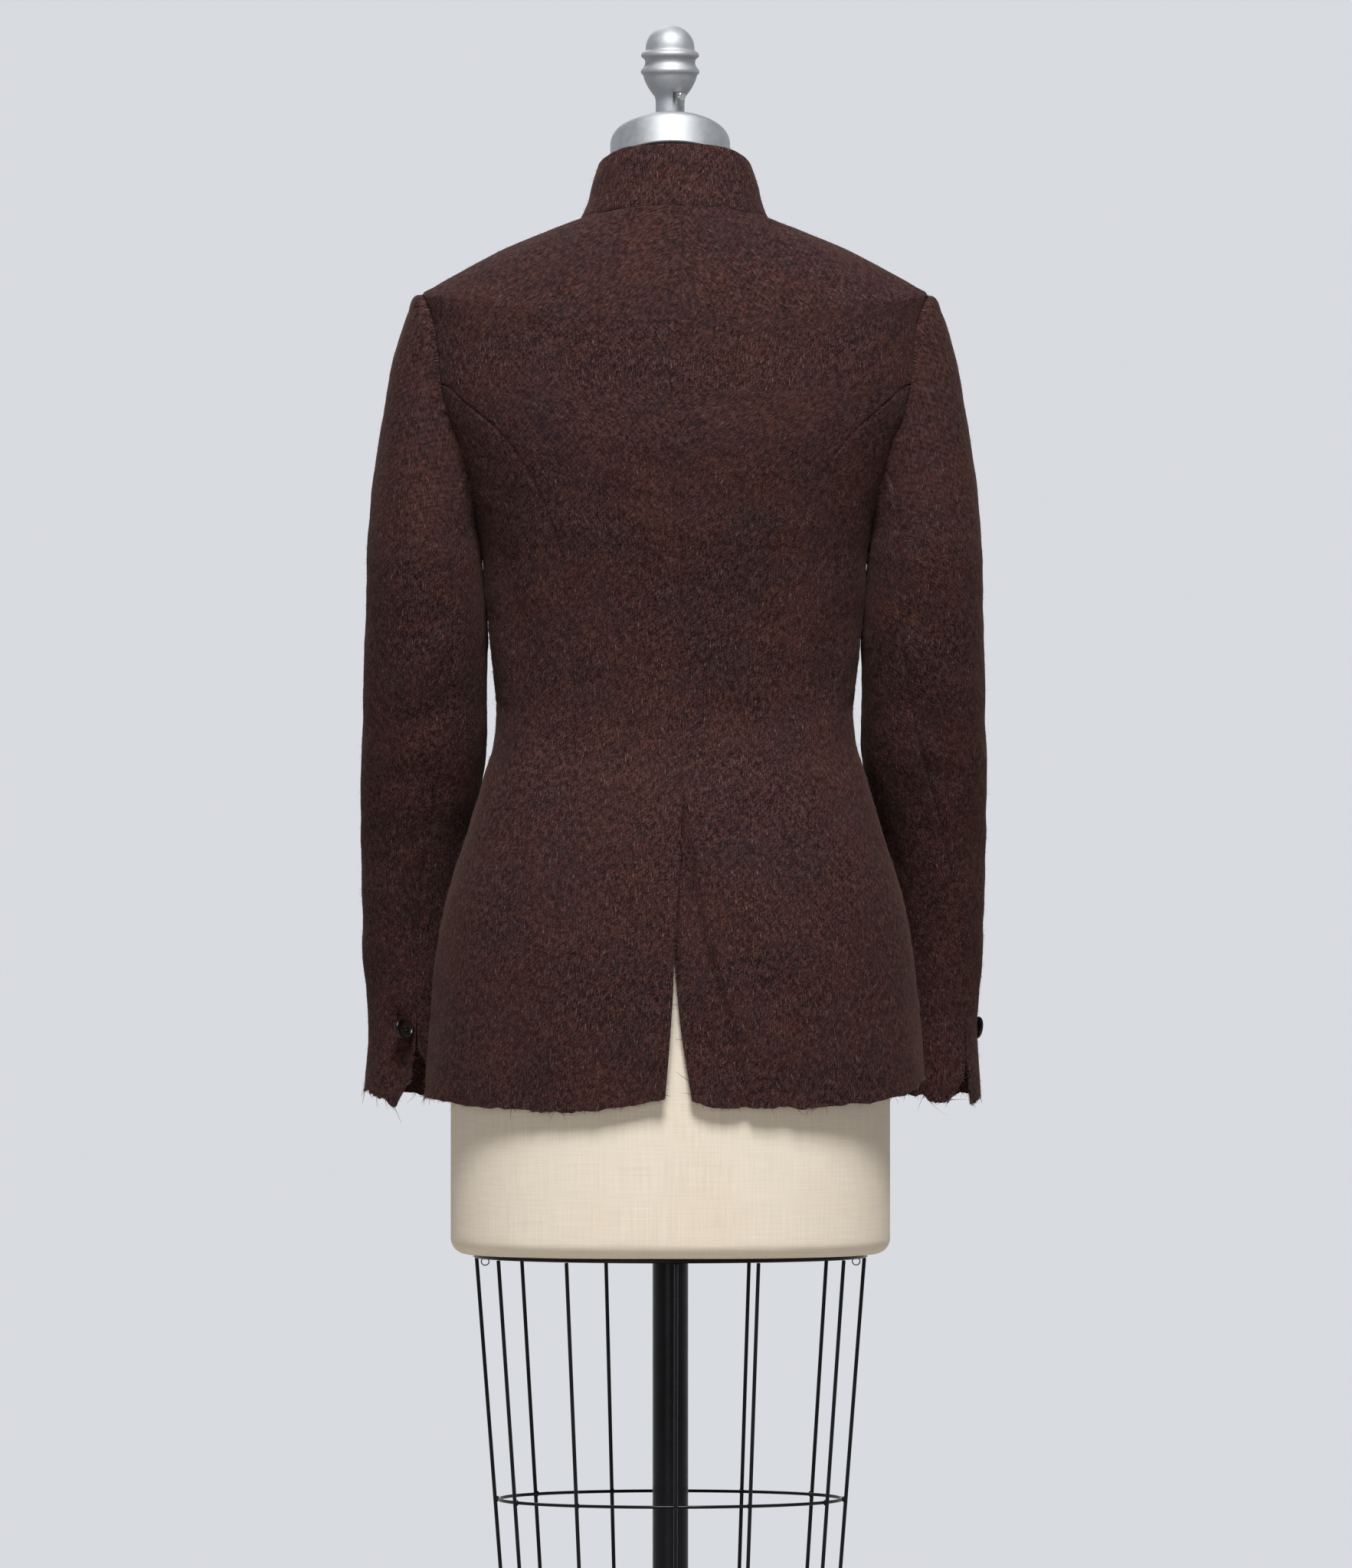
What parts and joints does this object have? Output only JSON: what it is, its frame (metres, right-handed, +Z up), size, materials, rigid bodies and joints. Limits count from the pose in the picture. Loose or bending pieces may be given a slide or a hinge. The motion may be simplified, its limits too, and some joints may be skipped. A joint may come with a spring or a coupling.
{
  "type": "tweed jacket on a dress form",
  "caption": "Fitted tweed jacket with a stand collar, raw hem and open back vent, worn on a limbless linen dress form on a pole with a wire cage and a round base.",
  "frame": {"origin": "centre of the round base, on the floor it stands on", "axes": "+Z up, the jacket's front faces -Y, the wearer's left is +X"},
  "size_m": [0.4928, 0.4, 1.57],
  "materials": {
    "tweed": "soft napped dark brown wool tweed with fine rust, ochre and grey flecks",
    "linen": "plain cream linen stretched over padding",
    "cast_aluminium": "satin cast aluminium",
    "black_enamel": "gloss black enamel",
    "base_enamel": "black enamel on a casting",
    "button_horn": "polished near-black brown"
  },
  "bodies": {
    "root": {"back_left": "tweed", "back_right": "tweed", "side_back_left": "tweed", "side_back_right": "tweed", "front_left": "tweed", "front_right": "tweed", "collar": "tweed", "sleeve_upper_left": "tweed", "sleeve_upper_right": "tweed", "sleeve_under_left": "tweed", "sleeve_under_right": "tweed", "cuff_button_left": "button_horn", "cuff_button_right": "button_horn", "front_button_1": "button_horn", "front_button_2": "button_horn", "front_button_3": "button_horn", "front_button_4": "button_horn", "front_button_5": "button_horn", "form_body": "linen", "form_neck_cap": "cast_aluminium", "form_finial": "cast_aluminium", "form_screw": "cast_aluminium", "form_plate": "black_enamel", "pole": "black_enamel", "cage_wire_01": "black_enamel", "cage_wire_02": "black_enamel", "cage_wire_03": "black_enamel", "cage_wire_04": "black_enamel", "cage_wire_05": "black_enamel", "cage_wire_06": "black_enamel", "cage_wire_07": "black_enamel", "cage_wire_08": "black_enamel", "cage_wire_09": "black_enamel", "cage_wire_10": "black_enamel", "cage_wire_11": "black_enamel", "cage_wire_12": "black_enamel", "cage_ring_upper": "black_enamel", "cage_ring_lower": "black_enamel", "base": "base_enamel"}
  },
  "joints": []
}
